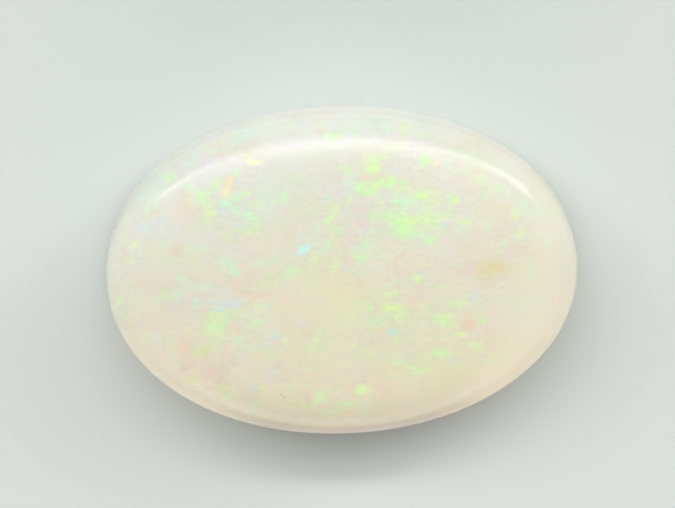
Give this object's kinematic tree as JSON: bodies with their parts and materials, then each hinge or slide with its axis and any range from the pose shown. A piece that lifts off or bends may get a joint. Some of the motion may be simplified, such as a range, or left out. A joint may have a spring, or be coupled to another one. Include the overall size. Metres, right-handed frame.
{
  "type": "loose opal",
  "caption": "Loose white opal, cut and polished as a low oval cabochon with a rounded shoulder and a flat back, for a setting or a collection.",
  "frame": {"origin": "on the surface that the stone lies on, under the middle of the stone", "axes": "+X along the oval's long axis, +Y along its short axis, +Z out of the domed front"},
  "size_m": [0.014, 0.01, 0.0031],
  "materials": {
    "opal": "polished, milky and translucent, with flecks of play-of-colour"
  },
  "bodies": {
    "root": {"opal": "opal"}
  },
  "joints": []
}
